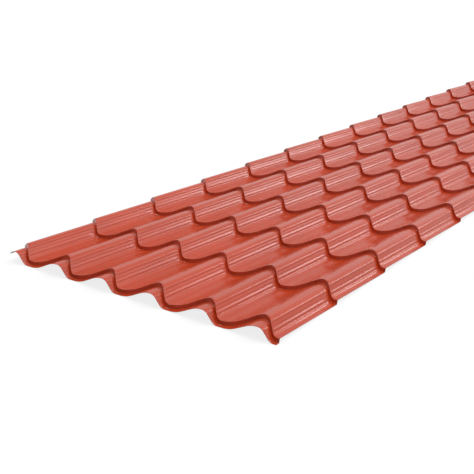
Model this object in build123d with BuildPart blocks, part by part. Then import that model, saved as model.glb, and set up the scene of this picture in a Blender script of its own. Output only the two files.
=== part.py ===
"""Tile effect metal roofing sheet: one coated steel sheet, rolled into waves and pressed into steps.

The waves run across the sheet (X) and the steps follow each other along it (Y). Each course of
false tiles is a stretch of the same wave section that slopes gently down towards its back. There
a riser lifts the sheet by the height of one step, to where the next course starts. Seen from
above, every riser is scalloped: it stands further forward in the pans than on the crests.
The origin is at the middle of the sheet, on the level that its lowest pans rest on.
"""

from build123d import *
from math import asin, atan2, cos, degrees, hypot, radians, sin, sqrt, tan, tau
import os

# Sheet, in millimetres
thickness = 0.6
waves = 5
courses = 14

# Waves, seen in section across the sheet
wave_pitch = 200.0
wave_depth = 39.0
crest_to_pan = 56.0
pan_flat = 18.0
crest_radius_steep = 26.0
pan_radius_steep = 24.0
pan_radius_gentle = 110.0
crest_radius_gentle = 90.0
steep_flats = 3
gentle_flats = 2

# Edges: a rolled lip before the first crest, and the width of sheet after the last one
lip_radius = 30.0
lip_turn = 45.0
lip_flats = 3
lip_flat = 6.0
last_flank = 66.0

# Steps, seen from the side and in plan
module = 350.0
step_height = 14.0
riser_lean = 12.0
scallop_depth = 50.0
scallop_middle = 60.0
front_strip = 16.0

# Sizes that follow from those
lip_width = lip_radius * sin(radians(lip_turn)) + lip_flat * cos(radians(lip_turn))
last_crest = waves * wave_pitch
sheet_width = lip_width + last_crest + last_flank
ramp_length = hypot(module, step_height)
ramp_cosine = module / ramp_length

# The sheet is drawn this many times as far as it shows, and then cut to its edges
overdraw = 2
drawn_length = 2 * overdraw * module
drawn_height = overdraw * (wave_depth + 2 * step_height)


def flank(reach, radii):
    """Turn and straight length of a flank: a crest arc, a pan arc and their common tangent."""
    slant = hypot(reach, radii - wave_depth)
    turn = asin(radii / slant) - atan2(radii - wave_depth, reach)
    return degrees(turn), sqrt(slant**2 - radii**2)


gentle_reach = wave_pitch - crest_to_pan - pan_flat
steep_turn, steep_length = flank(crest_to_pan, crest_radius_steep + pan_radius_steep)
gentle_turn, gentle_length = flank(gentle_reach, pan_radius_gentle + crest_radius_gentle)


def section_plane(y):
    """Plane of a section. It stands square to the ramp, so it leans back by the ramp's slope."""
    normal = (0, -module / ramp_length, step_height / ramp_length)
    return Plane(origin=(0, y, 0), x_dir=(1, 0, 0), z_dir=normal)


def riser_plane():
    """Plane that the risers stand square to. They lean back, so it tips forward."""
    lean = radians(riser_lean)
    return Plane(origin=(0, 0, 0), x_dir=(1, 0, 0), z_dir=(0, sin(lean), cos(lean)))


def walk(x, z, heading, runs):
    """Points along a rolled line. A run has a size, a turn and a number of flats to make it in.

    Its size is the radius of the bend, or the length of a straight run, whose turn is 0.
    """
    points = [(x, z)]
    for size, turn, flats in runs:
        half = turn / flats / 2
        length = 2 * size * sin(radians(abs(half))) if turn else size
        for _ in range(flats):
            heading += half
            x += length * cos(radians(heading))
            z += length * sin(radians(heading))
            heading += half
            points.append((x, z))
    return points


def wave_points(depth, lift=0.0):
    """Points of the section from lip to last pan, some depth under the sheet's top face."""
    lip_arc = lip_radius - depth
    lip_length = overdraw * lip_flat
    x = -lip_arc * sin(radians(lip_turn)) - lip_length * cos(radians(lip_turn))
    z = -lip_arc * (1 - cos(radians(lip_turn))) - lip_length * sin(radians(lip_turn))
    lip = [(lip_length, 0, 1), (lip_arc, -lip_turn, lip_flats)]
    fall = [
        (crest_radius_steep - depth, -steep_turn, steep_flats),
        (steep_length, 0, 1),
        (pan_radius_steep + depth, steep_turn, steep_flats),
        (pan_flat, 0, 1),
    ]
    rise = [
        (pan_radius_gentle + depth, gentle_turn, gentle_flats),
        (gentle_length, 0, 1),
        (crest_radius_gentle - depth, -gentle_turn, gentle_flats),
    ]
    return walk(x, z - depth + lift, lip_turn, lip + (fall + rise) * waves + fall)


def wave_section(start_y, height=0.0):
    """The sheet's section between its two faces, with the top face raised by a height."""
    top = wave_points(0.0, height)
    low = wave_points(thickness)
    with BuildSketch(section_plane(start_y)) as section:
        with BuildLine():
            Polyline(*top, *reversed(low), close=True)
        make_face()
    return section.sketch


def scallop_points(y):
    """Points along the foot of a riser in plan, which turns where the waves bend.

    It stands furthest forward in the pans, and swings back by the scallop's depth between them.
    """
    points = []
    for x, _ in wave_points(0.0):
        setback = scallop_depth * (1 - cos(tau * (x - scallop_middle) / wave_pitch)) / 2
        points.append((x, y + setback))
    return points


def plan_between(front, back):
    """The plan of a stretch of sheet between two scallops, cut to the sheet's width."""
    with BuildSketch(riser_plane()) as plan:
        with BuildLine():
            Polyline(*scallop_points(front), *reversed(scallop_points(back)), close=True)
        make_face()
        with Locations((-lip_width, front)):
            Rectangle(sheet_width, drawn_length, align=(Align.MIN, Align.CENTER), mode=Mode.INTERSECT)
    return plan.sketch


def press_ramp():
    """One course's ramp, from behind the riser at its front to the riser at its back."""
    with BuildPart() as ramp:
        extrude(wave_section(0), amount=drawn_length / 2, both=True)
        plan = plan_between(thickness, module * cos(radians(riser_lean)) + thickness)
        extrude(plan, amount=drawn_height, both=True, mode=Mode.INTERSECT)
    return ramp.part


def press_riser():
    """The riser at the front of a course, as deep as the sheet is thick."""
    with BuildPart() as riser:
        extrude(wave_section(-module, step_height * ramp_cosine), amount=drawn_length / 2, both=True)
        extrude(plan_between(0, thickness), amount=drawn_height, both=True, mode=Mode.INTERSECT)
    return riser.part


# One whole course, and the two short ones that a straight cut near the risers leaves at the ends
ramp = press_ramp()
foot = -(wave_depth + step_height) * tan(radians(riser_lean))
end_cut = Plane.XZ.offset(front_strip - foot - module)
with BuildPart() as course:
    add(press_riser())
    add(ramp)
with BuildPart() as front_course:
    add(ramp)
    split(bisect_by=end_cut, keep=Keep.BOTTOM)
with BuildPart() as back_course:
    add(course.part)
    split(bisect_by=end_cut, keep=Keep.TOP)

# The courses run on into each other, as one sheet
with BuildPart() as roofing_sheet:
    with Locations((0, -module, 0)):
        add(front_course.part)
    with Locations(*[(0, row * module, 0) for row in range(courses - 1)]):
        add(course.part, clean=False)
    with Locations((0, (courses - 1) * module, 0)):
        add(back_course.part, clean=False)

# The origin goes to the middle of the sheet, level with what it rests on
extent = roofing_sheet.part.bounding_box()
middle = extent.center()
sheet = Pos(-middle.X, -middle.Y, -extent.min.Z) * roofing_sheet.part
sheet.label = "roofing_sheet"

os.makedirs("parts", exist_ok=True)
export_step(sheet, "parts/roofing_sheet.step")
print("sheet", extent.size, "volume", round(sheet.volume), "solids", len(sheet.solids()))
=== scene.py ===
# %% [markdown]
# # A tile effect metal roofing sheet
#
# The object is one coated steel sheet, lying flat. A rolling line has given it waves across its
# width, and a press has given it steps along its length, so that it looks like courses of tiles.
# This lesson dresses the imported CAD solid: it makes a finer skin of the same sheet, with the small
# rolled ribs and rounded folds that the solid leaves out, and then the coating, light and camera.
#
# The frame comes first. It brings in the solid, which fixes where everything goes.

from math import asin, atan2, cos, degrees, hypot, pi, radians, sin, sqrt, tan, tau

import bpy
from mathutils import Matrix, Vector


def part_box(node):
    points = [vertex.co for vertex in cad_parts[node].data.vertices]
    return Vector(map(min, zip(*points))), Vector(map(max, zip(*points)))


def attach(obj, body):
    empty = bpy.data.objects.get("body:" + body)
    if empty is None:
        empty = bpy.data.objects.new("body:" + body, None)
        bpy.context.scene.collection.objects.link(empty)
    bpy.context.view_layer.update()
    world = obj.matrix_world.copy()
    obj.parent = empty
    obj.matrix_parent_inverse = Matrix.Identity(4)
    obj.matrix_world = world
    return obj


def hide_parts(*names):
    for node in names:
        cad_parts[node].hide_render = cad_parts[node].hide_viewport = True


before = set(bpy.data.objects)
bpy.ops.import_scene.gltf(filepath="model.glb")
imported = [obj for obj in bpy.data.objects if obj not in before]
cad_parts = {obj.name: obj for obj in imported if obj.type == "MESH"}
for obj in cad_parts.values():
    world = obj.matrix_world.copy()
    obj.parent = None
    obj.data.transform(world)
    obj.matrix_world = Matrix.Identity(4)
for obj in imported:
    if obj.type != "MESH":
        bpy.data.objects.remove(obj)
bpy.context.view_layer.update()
low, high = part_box("roofing_sheet")
mm = 0.001
print("the solid fills", [round(v, 4) for v in (*low, *high)], "in metres")

# %% [markdown]
# ## The sheet's driving dimensions
#
# A sheet like this is set by a handful of sizes: how far apart the waves and the steps are, how
# deep they are, and how tightly the steel is bent. The solid was made from the same values, so the
# skin and the solid agree everywhere without any fitting.

# %% Sizes of the sheet
thickness = 0.6 * mm
waves = 5
courses = 14

wave_pitch = 200 * mm
wave_depth = 39 * mm
crest_to_pan = 56 * mm
pan_flat = 18 * mm
crest_radius_steep = 26 * mm
pan_radius_steep = 24 * mm
pan_radius_gentle = 110 * mm
crest_radius_gentle = 90 * mm

lip_radius = 30 * mm
lip_turn = radians(45)
lip_flat = 6 * mm
last_flank = 66 * mm

module = 350 * mm
step_height = 14 * mm
riser_lean = radians(12)
scallop_depth = 50 * mm
scallop_middle = 60 * mm
front_strip = 16 * mm

lip_width = lip_radius * sin(lip_turn) + lip_flat * cos(lip_turn)
first_crest = low.x + lip_width
print("crests at", [round(first_crest + i * wave_pitch, 4) for i in range(waves + 1)])

# %% [markdown]
# ## Walking along a bent line
#
# Sheet metal is only ever straight or bent round a radius. So a section can be told as a walk: go
# this far straight, then turn this much over that length. One small function takes such a walk and
# answers where it has got to, and which way it faces, after any distance. It serves the waves
# across the sheet and the steps along it alike. The lip on the left edge is the shortest such walk,
# one bend and one straight.

# %% A walk along straights and bends
def walk(runs, distance, heading=0.0):
    """Place and heading after a distance. A run is its length and how far it turns in all."""
    across = up = 0.0
    for length, turn in runs:
        part = min(distance, length)
        bend = turn * part / length
        chord = part * (sin(bend / 2) / (bend / 2) if bend else 1)
        across += chord * cos(heading + bend / 2)
        up += chord * sin(heading + bend / 2)
        heading += bend
        distance -= part
    return across, up, heading


def total(runs):
    """Length of all the runs of a walk."""
    return sum(length for length, turn in runs)


lip_runs = [(lip_radius * lip_turn, -lip_turn), (lip_flat, 0.0)]
lip_end = walk(lip_runs, total(lip_runs))
print("the lip reaches", [round(v / mm, 2) for v in lip_end[:2]], "mm out and up from its crest")

# %% [markdown]
# ## One wave
#
# A wave falls steeply from its crest to its pan, and rises gently to the next crest. Each side is
# an arc at the crest and an arc at the pan, with a straight between them that touches both. The
# side's reach and its two radii settle how far it turns and how long the straight is.

# %% The wave as a walk
def flank(reach, radii):
    """Turn and straight length of a flank: a crest arc, a pan arc and their common tangent."""
    slant = hypot(reach, radii - wave_depth)
    turn = asin(radii / slant) - atan2(radii - wave_depth, reach)
    return turn, sqrt(slant**2 - radii**2)


gentle_reach = wave_pitch - crest_to_pan - pan_flat
steep_turn, steep_length = flank(crest_to_pan, crest_radius_steep + pan_radius_steep)
gentle_turn, gentle_length = flank(gentle_reach, pan_radius_gentle + crest_radius_gentle)
fall_runs = [
    (crest_radius_steep * steep_turn, -steep_turn),
    (steep_length, 0.0),
    (pan_radius_steep * steep_turn, steep_turn),
    (pan_flat, 0.0),
]
rise_runs = [
    (pan_radius_gentle * gentle_turn, gentle_turn),
    (gentle_length, 0.0),
    (crest_radius_gentle * gentle_turn, -gentle_turn),
]
wave_runs = fall_runs + rise_runs
wave_length = total(wave_runs)
print("one wave uses", round(wave_length / mm, 1), "mm of steel for", wave_pitch / mm, "of cover")

# %% [markdown]
# ## Rolled ribs
#
# Thin steel drums and buckles, so the rollers leave small ribs in it. Five of them lie side by side
# down the steep side of each wave, from its crest to its pan. The second and the last two stand
# up most, and catch the light as thin pale lines with a dark line beside each. A sixth, low one
# runs along the gentle shoulder.
#
# They are less than 2 mm high, and could be painted on as bump. They are real shapes with real
# outlines in low light, though, so they are made in the mesh, as a height above the section.

# %% Height of the ribs
rib_half_width = 6.5 * mm
flank_ribs = [0.6 * mm, 1.5 * mm, 0.5 * mm, 1.6 * mm, 1.5 * mm]
shoulder_rib = 0.6 * mm
shoulder_place = 205 * mm
ribs = [(rib_half_width * (2 * i + 1), height) for i, height in enumerate(flank_ribs)]
ribs.append((shoulder_place, shoulder_rib))


def rib_height(along):
    """Height of the ribs, a distance along the wave from its crest."""
    height = 0.0
    for place, rise in ribs:
        share = (along - place) / rib_half_width
        if abs(share) < 1:
            height += rise * cos(pi / 2 * share) ** 2
    return height


print("ribs", len(ribs), "a wave, up to", round(max(flank_ribs) / mm, 1), "mm high")

# %% [markdown]
# ## Press marks
#
# The press flattens the ribs in front of each riser. It leaves short puckers on the shoulder there,
# where the steel was drawn in, and a shallow dent in the pan, where the red looks deeper. All of
# them fade out smoothly, because steel this thin never turns a corner by itself.

# %% Height of the puckers and dents
pucker_spacing = 12.5 * mm
pucker_height = 1.0 * mm
pucker_stretch = (2 * mm, 40 * mm)
dent_depth = 1.8 * mm
dent_middle = 112 * mm
dent_half_width = 38 * mm
dent_length = 80 * mm


def ease(value, start, end):
    """A smooth rise from 0 at the start to 1 at the end."""
    share = min(max((value - start) / (end - start), 0.0), 1.0)
    return share * share * (3 - 2 * share)


def pucker(along):
    """Height of the puckers that the press leaves on the wave's shoulder."""
    start, end = pucker_stretch
    window = ease(along, start, start + pucker_spacing)
    window *= 1 - ease(along, end - pucker_spacing, end)
    return pucker_height * window * (1 - cos(tau * (along - start) / pucker_spacing)) / 2


def dent(along, before_foot):
    """Height of the shallow dent in the pan in front of a riser, where the press pulls at it."""
    across = (along - dent_middle) / dent_half_width
    deep = before_foot / dent_length
    if abs(across) >= 1 or deep >= 1:
        return 0.0
    return -dent_depth * cos(pi / 2 * across) ** 2 * sin(pi * deep) ** 2


deepest = dent(dent_middle, dent_length / 2)
print("puckers up to", pucker_height / mm, "mm, dents down to", round(deepest / mm, 1), "mm")

# %% [markdown]
# ## Columns across the sheet
#
# The mesh will be a grid, and its columns run along the sheet. They stand close where the shape is
# fine, on the ribs, and further apart on the long gentle rise. The stations below are the distances
# along one wave at which a column stands. The far edge of a rib is the near edge of the next, so
# each rib brings only its near edge.

# %% Stations along one wave
rib_shares = [-1.0, -0.5, 0.0, 0.5]
steep_spacing = 5.5 * mm
gentle_spacing = 11.5 * mm


def wave_stations():
    """Distances along one wave at which it gets a column."""
    ribbed = [place + share * rib_half_width for place, rise in ribs for share in rib_shares]
    steep_end = total(fall_runs)
    free = [steep_spacing * i for i in range(int(steep_end / steep_spacing) + 1)]
    count = round((wave_length - steep_end) / gentle_spacing)
    free += [steep_end + (wave_length - steep_end) * i / count for i in range(count)]
    free = [s for s in free if all(abs(s - place) > rib_half_width for place, rise in ribs)]
    return sorted(free + ribbed)


stations = wave_stations()
print(len(stations), "columns a wave")

# %% [markdown]
# Each column keeps its place in the section, the way the skin faces there, and its distance from
# the last crest. The lip is walked the other way, and mirrored. The last column is carried on to
# the sheet's right edge.

# %% The section as a row of columns
lip_steps = 7


def lip_columns():
    """Columns of the rolled lip, from the sheet's left edge up to the first crest."""
    for i in range(lip_steps, 0, -1):
        across, up, heading = walk(lip_runs, total(lip_runs) * i / lip_steps)
        yield -across, up, -heading, 0.0


def section_columns():
    """Every column: place across, height under the crests, heading, distance from its crest."""
    columns = list(lip_columns())
    for wave in range(waves + 1):
        for along in stations:
            across, up, heading = walk(wave_runs, along)
            if wave == waves and across > last_flank:
                break
            columns.append((wave * wave_pitch + across, up, heading, along))
    across, up, heading, along = columns[-1]
    gap = waves * wave_pitch + last_flank - across
    columns.append((across + gap, up + gap * tan(heading), heading, along + gap))
    return columns


columns = section_columns()
print(len(columns), "columns in all")

# %% [markdown]
# ## One step
#
# Along its length the sheet is another walk: up a leaning riser with a small bend at its foot and
# another at its top edge, then down a long gentle ramp to the foot of the next riser. In the solid
# these folds are sharp. A real press needs a radius, and that round edge is what draws a thin light
# line along every step, so here both folds get one. A round fold takes a little off the straights
# on both its sides.

# %% The step as a walk
foot_radius = 1.5 * mm
edge_radius = 2.2 * mm
ramp_slope = step_height / module
ramp_angle = atan2(step_height, module)
fold_turn = pi / 2 - riser_lean + ramp_angle
foot_take = foot_radius * tan(fold_turn / 2)
edge_take = edge_radius * tan(fold_turn / 2)

riser_rise = step_height / (1 + ramp_slope * tan(riser_lean))
riser_length = riser_rise / cos(riser_lean) - foot_take - edge_take
ramp_length = (module - riser_rise * tan(riser_lean)) / cos(ramp_angle) - foot_take - edge_take
foot_length = foot_radius * fold_turn
edge_length = edge_radius * fold_turn
step_runs = [
    (foot_length, fold_turn),
    (riser_length, 0.0),
    (edge_length, -fold_turn),
    (ramp_length, 0.0),
]
ramp_start = total(step_runs[:3])
step_length = ramp_start + ramp_length
print("folds", round(degrees(fold_turn), 1), "degrees, ramp", round(ramp_length / mm, 1), "mm long")

# %% [markdown]
# ## Rows along the sheet
#
# The rows stand close in the two folds, and again in front of the next riser, where the ribs stop
# and the press marks are. A ramp between them is straight and needs only one row.
#
# Each of the three stretches below gives the distances at which a mark starts to change and has
# changed. The ribs start behind a step's top edge. They stop in front of the next riser, and the
# puckers are at their full height there.

# %% Rows of one step
ribs_start = (0 * mm, 9 * mm)
ribs_stop = (18 * mm, 36 * mm)
puckers_stop = (10 * mm, 44 * mm)
edge_rows = 3
rows_before_foot = [60 * mm, 36 * mm, 27 * mm, 18 * mm, 9 * mm]


def step_stations():
    """Distances along one step's line at which it gets a row."""
    edge_start = foot_length + riser_length
    fold_rows = [0.0, foot_length / 2, foot_length]
    fold_rows += [edge_start + edge_length * i / edge_rows for i in range(edge_rows + 1)]
    ramp_rows = [ramp_start + ribs_start[1], ramp_start + ramp_length / 2]
    ramp_rows += [step_length - before for before in rows_before_foot]
    return fold_rows + ramp_rows


def step_rows():
    """Rows of one step: place along and height from the foot of its riser, then how far the row
    lies behind the step's top edge and in front of the next riser's foot."""
    rows = []
    for distance in step_stations():
        along, up, heading = walk(step_runs, distance, -ramp_angle)
        along -= foot_take * cos(ramp_angle)
        up += foot_take * sin(ramp_angle)
        rows.append((along, up, distance - ramp_start, step_length - distance))
    return rows


rows = step_rows()
print(len(rows), "rows a step")

# %% [markdown]
# ## Where each column starts
#
# Every column starts at the foot of the first riser. In plan the risers are scalloped, so the foot
# swings back between the pans. It also leans back as it rises, so a column in a pan starts a little
# further forward than one on a crest.

# %% Feet of the first riser
front_foot = -(wave_depth + step_height) * tan(riser_lean)
first_riser = low.y + front_strip - front_foot


def setback(across):
    """How far the scalloped riser stands behind its most forward point."""
    swing = (1 - cos(tau * (across - scallop_middle) / wave_pitch)) / 2
    return scallop_depth * swing / cos(riser_lean)


crest_level = high.z + ramp_slope * setback(0.0)


def riser_foot(across, up):
    """Place along and height of the foot of the first riser, for one column."""
    back = setback(across)
    fall = up / cos(ramp_angle) - ramp_slope * back - step_height
    height = fall / (1 + ramp_slope * tan(riser_lean))
    return first_riser + back + height * tan(riser_lean), crest_level + height


feet = [riser_foot(column[0], column[1]) for column in columns]
print("the feet swing over", round((max(feet)[0] - min(feet)[0]) / mm, 1), "mm")

# %% [markdown]
# ## Points of the skin
#
# The ribs and press marks push a point out along the way its skin faces. The folds and the risers
# stay smooth.

# %% A point and its relief
def relief(along_wave, behind_edge, before_foot):
    """Height of ribs, puckers and the dent at one point of the skin."""
    if behind_edge <= 0:
        return 0.0
    rolled = ease(behind_edge, *ribs_start) * ease(before_foot, *ribs_stop)
    pressed = 1 - ease(before_foot, *puckers_stop)
    height = rib_height(along_wave) * rolled + pucker(along_wave) * pressed
    return height + dent(along_wave, before_foot)


def skin_point(column, place, height, behind_edge, before_foot):
    """A point of the skin, moved out from the bare section by its relief."""
    across, up, heading, along_wave = column
    out = relief(along_wave, behind_edge, before_foot)
    return Vector((first_crest + across - out * sin(heading), place, height + out * cos(heading)))


tallest = max(relief(along, module / 2, module / 2) for along in stations)
print("at mid ramp the skin stands up to", round(tallest / mm, 2), "mm off the section")

# %% [markdown]
# The rows of points now run from the front cut to the back cut. The short strip in front of the
# first riser is a piece of ramp, and its rows are spread between the straight cut and the scalloped
# foot. The last ramp is spread in the same way, between its scalloped top and the back cut.

# %% Rows of points from cut to cut
strip_shares = [0.0, 0.3, 0.6, 0.85]


def strip_line(share):
    """One row of the front strip, a share of the way from the cut to the riser's foot."""
    line = []
    for column, (foot, level) in zip(columns, feet):
        place = low.y + share * (foot + rows[0][0] - low.y)
        height = level + ramp_slope * (foot - place)
        line.append(skin_point(column, place, height, place - low.y, foot - place))
    return line


def cut_back(place, height, behind_edge, before_foot):
    """Moves a point of the last ramp along it, so that the ramp ends at the sheet's back edge."""
    ramp_top = place - behind_edge * cos(ramp_angle)
    share = behind_edge / (behind_edge + before_foot)
    cut_place = ramp_top + (high.y - ramp_top) * share
    return cut_place, height + ramp_slope * (place - cut_place)


def course_line(course, row):
    """One row of a course, from left to right."""
    along, up, behind_edge, before_foot = row
    line = []
    for column, (foot, level) in zip(columns, feet):
        place = foot + course * module + along
        height = level + up
        if course == courses - 1 and behind_edge > 0:
            place, height = cut_back(place, height, behind_edge, before_foot)
        line.append(skin_point(column, place, height, behind_edge, before_foot))
    return line


def back_line(line):
    """The sheet's back edge, straight on down the ramp from the last row."""
    return [Vector((p.x, high.y, p.z - ramp_slope * (high.y - p.y))) for p in line]


grid = [strip_line(share) for share in strip_shares]
grid += [course_line(course, row) for course in range(courses) for row in rows]
grid.append(back_line(grid[-1]))
print(len(grid), "rows by", len(columns), "columns")

# %% [markdown]
# ## From points to a skin
#
# A grid of points becomes a mesh by joining each four neighbours to a quad.

# %% The skin
def skin_mesh(name, lines):
    """A mesh of quads over rows of points."""
    width = len(lines[0])
    points = [point for line in lines for point in line]
    quads = []
    for row in range(len(lines) - 1):
        for column in range(width - 1):
            corner = row * width + column
            quads.append((corner, corner + 1, corner + width + 1, corner + width))
    mesh = bpy.data.meshes.new(name)
    mesh.from_pydata(points, [], quads)
    mesh.update()
    return mesh


sheet = bpy.data.objects.new("coated_sheet", skin_mesh("coated_sheet", grid))
bpy.context.scene.collection.objects.link(sheet)
print(len(sheet.data.polygons), "quads")

# %% [markdown]
# ## The coating
#
# The colour is baked on as a thin film: a satin, brick red paint with a very fine grain. Most of
# what the eye reads is its sheen. Seen from low down it mirrors pale surroundings softly, which
# makes the red look pink, and where a riser blocks that view the full red comes back.
#
# So the base colour is a deep red, and the sheen is left to the shader's own gloss. Three layers of
# procedural noise keep it from looking like plastic: slow drifts of shade from one part of the
# sheet to the next, faint streaks along the rolling direction, and the grain of the film itself.
#
# Every finish needs the same few steps, so they get small helpers first. The first one adds a node
# and links it in one line, and the second one starts a new finish.

# %% Adding nodes
def node_maker(tree):
    """A small function that adds a node to a tree, sets it up and links its inputs."""
    def add(kind, inputs=None, **settings):
        node = tree.nodes.new(kind)
        for key, value in settings.items():
            setattr(node, key, value)
        for key, value in (inputs or {}).items():
            if isinstance(value, bpy.types.NodeSocket):
                tree.links.new(value, node.inputs[key])
            else:
                node.inputs[key].default_value = value
        return node

    return add


def new_finish(name):
    """A material with its shader, its links, and a function that adds a node to it."""
    material = bpy.data.materials.new(name)
    material.use_nodes = True
    tree = material.node_tree
    return material, tree.nodes["Principled BSDF"], tree.links, node_maker(tree)


print("each finish starts as one Principled shader")

# %% [markdown]
# The next three turn noise into a look. Noise gives soft blotches between 0 and 1, mostly near the
# middle. They are stretched over values, such as how rough the film is, or over two shades of one
# colour. A small scale along the sheet draws the blotches out into streaks.

# %% Noise, values and shades
def blotches(add, stretch, scale, detail=3.0):
    """Noise fixed to the sheet, stretched by a scale for each axis."""
    place = add("ShaderNodeTexCoord")
    mapped = add("ShaderNodeMapping", {"Vector": place.outputs["Object"], "Scale": stretch})
    noise = add("ShaderNodeTexNoise", {
        "Vector": mapped.outputs["Vector"], "Scale": scale, "Detail": detail,
    })
    return noise.outputs["Fac"]


def spread(add, factor, limits=(0.0, 1.0), taken=(0.3, 0.7)):
    """Turns the taken part of a noise's range into values between two limits."""
    node = add("ShaderNodeMapRange", {
        "Value": factor, "From Min": taken[0], "From Max": taken[1],
        "To Min": limits[0], "To Max": limits[1],
    })
    return node.outputs["Result"]


def shade(add, factor, dark, light):
    """A colour between a dark and a light one."""
    node = add("ShaderNodeMix", {"Factor": factor}, data_type="RGBA")
    node.inputs["A"].default_value = (*dark, 1)
    node.inputs["B"].default_value = (*light, 1)
    return node.outputs["Result"]


even = (1.0, 1.0, 1.0)
along_rolling = (1.0, 0.012, 1.0)
print("streaks are", round(1 / along_rolling[1]), "times as long as they are wide")

# %% [markdown]
# The rollers also leave the steel a little wavy between its ribs. That is far too shallow to model,
# so it is a bump that follows the rolling direction, with the grain of the film on top of it.

# %% Brick red satin coating
red_dark = (0.5, 0.045, 0.008)
red_light = (0.59, 0.056, 0.012)
red_satin = (0.23, 0.26)
paint_ior = 1.5
shade_drift = {"stretch": (1.0, 0.35, 1.0), "scale": 5.0}
rolled_streaks = {"stretch": along_rolling, "scale": 160.0}
roller_waves = {"stretch": along_rolling, "scale": 55.0, "detail": 1.0}
film_grain = {"stretch": even, "scale": 900.0, "detail": 2.0}
wave_bump = {"Strength": 0.1, "Distance": 1 * mm}
grain_bump = {"Strength": 0.03, "Distance": 0.1 * mm}


def brick_red_coating():
    """The coating on the sheet's face."""
    material, shader, links, add = new_finish("brick_red_satin_coating")
    streaks = blotches(add, **rolled_streaks)
    both = add("ShaderNodeMath", {0: blotches(add, **shade_drift), 1: streaks}, operation="ADD")
    tone = spread(add, both.outputs["Value"], taken=(0.75, 1.25))
    rolled = add("ShaderNodeBump", {"Height": blotches(add, **roller_waves), **wave_bump})
    film = add("ShaderNodeBump", {
        "Height": blotches(add, **film_grain), "Normal": rolled.outputs["Normal"], **grain_bump,
    })
    links.new(shade(add, tone, red_dark, red_light), shader.inputs["Base Color"])
    links.new(spread(add, streaks, red_satin), shader.inputs["Roughness"])
    links.new(film.outputs["Normal"], shader.inputs["Normal"])
    shader.inputs["IOR"].default_value = paint_ior
    return material


sheet.data.materials.append(brick_red_coating())
print("coated in", sheet.data.materials[0].name)

# %% [markdown]
# ## The back and the cut edges
#
# The underside carries a thinner grey-blue primer, which shows only where the sheet curls up or is
# seen from below. The cut edges are bare zinc and steel, a pale line 0.6 mm wide.

# %% Grey-blue primer and bare cut edges
primer_dark = (0.07, 0.09, 0.12)
primer_light = (0.11, 0.13, 0.16)
primer_satin = (0.45, 0.58)
zinc_dark = (0.34, 0.33, 0.33)
zinc_light = (0.5, 0.49, 0.48)
zinc_satin = (0.35, 0.55)
zinc_metal = 0.9
primer_drift = {"stretch": (1.0, 0.3, 1.0), "scale": 9.0}
shear_marks = {"stretch": (1.0, 1.0, 0.1), "scale": 700.0}


def grey_blue_primer():
    """The primer on the sheet's back."""
    material, shader, links, add = new_finish("grey_blue_back_primer")
    drift = blotches(add, **primer_drift)
    colour = shade(add, spread(add, drift), primer_dark, primer_light)
    links.new(colour, shader.inputs["Base Color"])
    links.new(spread(add, drift, primer_satin), shader.inputs["Roughness"])
    return material


def bare_cut_edge():
    """Zinc and steel, with the upright marks that the shear leaves."""
    material, shader, links, add = new_finish("bare_cut_edge")
    marks = blotches(add, **shear_marks)
    colour = shade(add, spread(add, marks), zinc_dark, zinc_light)
    links.new(colour, shader.inputs["Base Color"])
    links.new(spread(add, marks, zinc_satin), shader.inputs["Roughness"])
    shader.inputs["Metallic"].default_value = zinc_metal
    return material


for finish in (grey_blue_primer(), bare_cut_edge()):
    sheet.data.materials.append(finish)
print("finishes", [material.name for material in sheet.data.materials])

# %% [markdown]
# ## From a skin to steel
#
# The skin has no thickness yet. Blender's Solidify modifier does what the mill did: it gives it
# 0.6 mm of steel underneath. It also marks the back and the cut edges, so that each takes its own
# finish. Last, the edges are trimmed square, as a shear leaves them, and the skin is shaded softly
# up to its sheared edges.

# %% Steel under the skin
sharp_from = radians(50)


def give_thickness(sheet):
    """Steel under the skin. Its back is material 1 and its cut edges are material 2."""
    solidify = sheet.modifiers.new("steel", "SOLIDIFY")
    solidify.thickness = thickness
    solidify.offset = -1
    solidify.use_even_offset = True
    solidify.material_offset = 1
    solidify.material_offset_rim = 2
    bpy.context.view_layer.objects.active = sheet
    bpy.ops.object.modifier_apply(modifier=solidify.name)


def trim_square(mesh):
    """Cuts the sheet off square at its own box."""
    for vertex in mesh.vertices:
        for axis in range(3):
            vertex.co[axis] = min(max(vertex.co[axis], low[axis]), high[axis])


def smooth(mesh):
    """Soft shading over the skin, with the sheared edges kept sharp."""
    mesh.polygons.foreach_set("use_smooth", [True] * len(mesh.polygons))
    mesh.set_sharp_from_angle(angle=sharp_from)


give_thickness(sheet)
trim_square(sheet.data)
smooth(sheet.data)
sheet.data.calc_loop_triangles()
print(len(sheet.data.loop_triangles), "triangles")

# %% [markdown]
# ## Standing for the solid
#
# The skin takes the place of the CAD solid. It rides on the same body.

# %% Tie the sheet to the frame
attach(sheet, "root")
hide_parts("roofing_sheet")
print(sheet.name, "stands for roofing_sheet")

# %% [markdown]
# ## Floor
#
# The sheet lies on a wide white floor, as in a studio. The floor takes the sheet's shadow. Its own
# colour makes it white, with a little added only for what the camera and reflections see, so that
# the light on the sheet itself can stay at a plain level.

# %% White floor
floor_reach = 60.0
floor_drop = 0.5 * mm
floor_colour = (0.2, 0.2, 0.2, 1)
floor_roughness = 0.9
floor_glow = 0.82
white = (1, 1, 1, 1)


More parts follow.
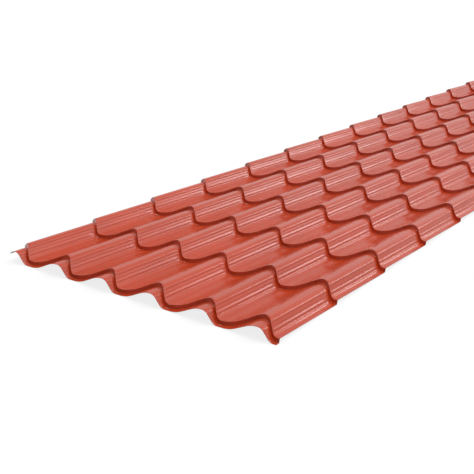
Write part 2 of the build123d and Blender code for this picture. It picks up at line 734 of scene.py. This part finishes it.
def white_floor():
    """White to the camera and in reflections, and plain grey to the light, to carry a shadow."""
    material, shader, links, add = new_finish("white_floor")
    rays = add("ShaderNodeLightPath").outputs
    seen = add("ShaderNodeMath", {
        0: rays["Is Camera Ray"], 1: rays["Is Glossy Ray"],
    }, operation="MAXIMUM")
    glow = add("ShaderNodeMath", {0: seen.outputs["Value"], 1: floor_glow}, operation="MULTIPLY")
    links.new(glow.outputs["Value"], shader.inputs["Emission Strength"])
    shader.inputs["Base Color"].default_value = floor_colour
    shader.inputs["Roughness"].default_value = floor_roughness
    shader.inputs["Specular IOR Level"].default_value = 0.0
    shader.inputs["Emission Color"].default_value = white
    return material


reach = floor_reach
corners = [(-reach, -reach, 0), (reach, -reach, 0), (reach, reach, 0), (-reach, reach, 0)]
floor_mesh = bpy.data.meshes.new("floor")
floor_mesh.from_pydata(corners, [], [(0, 1, 2, 3)])
floor_mesh.materials.append(white_floor())
floor = bpy.data.objects.new("floor", floor_mesh)
floor.location.z = -floor_drop
bpy.context.scene.collection.objects.link(floor)
print("floor", 2 * floor_reach, "m wide")

# %% [markdown]
# ## Surroundings
#
# Behind the sheet the surroundings are bright, and they grow dim towards its front left. So the
# ramps and pans carry a pale sheen, while the risers, which face the dim side, stay a deep red. How
# bright a direction is follows from how far it points to the bright side, which is one dot product.
# The camera itself sees plain white everywhere.

# %% White surroundings, brighter behind the sheet
front_light = 0.1
back_light = 0.99
bright_side = Vector((0.35, 0.94, 0.0))

world = bpy.data.worlds.new("studio")
bpy.context.scene.world = world
world.use_nodes = True
add = node_maker(world.node_tree)
place = add("ShaderNodeTexCoord")
toward = add("ShaderNodeVectorMath", {
    0: place.outputs["Generated"], 1: bright_side,
}, operation="DOT_PRODUCT")
level = add("ShaderNodeMapRange", {
    "Value": toward.outputs["Value"], "From Min": -1.0,
    "To Min": front_light, "To Max": back_light,
})
rays = add("ShaderNodeLightPath")
shown = add("ShaderNodeMix", {
    "Factor": rays.outputs["Is Camera Ray"], "A": level.outputs["Result"], "B": 1.0,
})
background = world.node_tree.nodes["Background"]
background.inputs["Color"].default_value = white
world.node_tree.links.new(shown.outputs["Result"], background.inputs["Strength"])
print("surroundings from", front_light, "in front to", back_light, "behind")

# %% [markdown]
# ## Lamps
#
# A wide, soft lamp stands high up and lights the colour. A second one, low behind the sheet and
# much weaker, rakes over it and draws the bright lines on the ribs. A third stands on the left,
# where the rounded edges of the steps mirror it towards the camera. Each is told by where its light
# comes from, how strong it is, and how wide it looks from the sheet.

# %% Three lamps
lamps = {
    "high_lamp": (Vector((0.3, 0.3, 0.9)), 0.96, radians(60)),
    "low_back_lamp": (Vector((0.22, 0.84, 0.49)), 0.3, radians(14)),
    "left_lamp": (Vector((-0.52, 0.18, 0.83)), 0.5, radians(12)),
}
for name, (lamp_from, power, width) in lamps.items():
    lamp = bpy.data.objects.new(name, bpy.data.lights.new(name, "SUN"))
    lamp.data.energy = power
    lamp.data.angle = width
    lamp.rotation_euler = lamp_from.to_track_quat("Z", "Y").to_euler()
    bpy.context.scene.collection.objects.link(lamp)
print("lamps", list(lamps))

# %% [markdown]
# ## The camera
#
# The camera stands low at the front right corner and looks back along the sheet. Its place and
# angles come from fitting the crests and risers of the sheet to where they appear, so the same view
# falls out with no shift of the lens. Its place is measured from the first crest, at the first
# riser.

# %% Camera
camera_right = 2.3142
camera_front = 2.1229
camera_above = 1.146
camera_turn = radians(33.63)
camera_dip = radians(19.67)
camera_roll = radians(1.64)
camera_sensor = 36.0
photo_width = 474
focal_pixels = 937.2

camera = bpy.data.objects.new("camera", bpy.data.cameras.new("camera"))
camera.data.sensor_fit = "HORIZONTAL"
camera.data.sensor_width = camera_sensor
camera.data.lens = focal_pixels / photo_width * camera_sensor
camera.data.clip_end = 4 * floor_reach
camera_place = Vector((
    first_crest + camera_right, first_riser - camera_front, crest_level + camera_above,
))
camera.matrix_world = (
    Matrix.Translation(camera_place)
    @ Matrix.Rotation(camera_turn, 4, "Z")
    @ Matrix.Rotation(pi / 2 - camera_dip, 4, "X")
    @ Matrix.Rotation(camera_roll, 4, "Z")
)
bpy.context.scene.collection.objects.link(camera)
bpy.context.scene.camera = camera
bpy.context.scene.view_settings.view_transform = "Standard"
print("lens", round(camera.data.lens, 2), "mm")

# %% [markdown]
# ## Finish
#
# The dressed sheet must fill the same box as the solid. Here the scene is brought up to
# date.

# %% The end
bpy.context.view_layer.update()
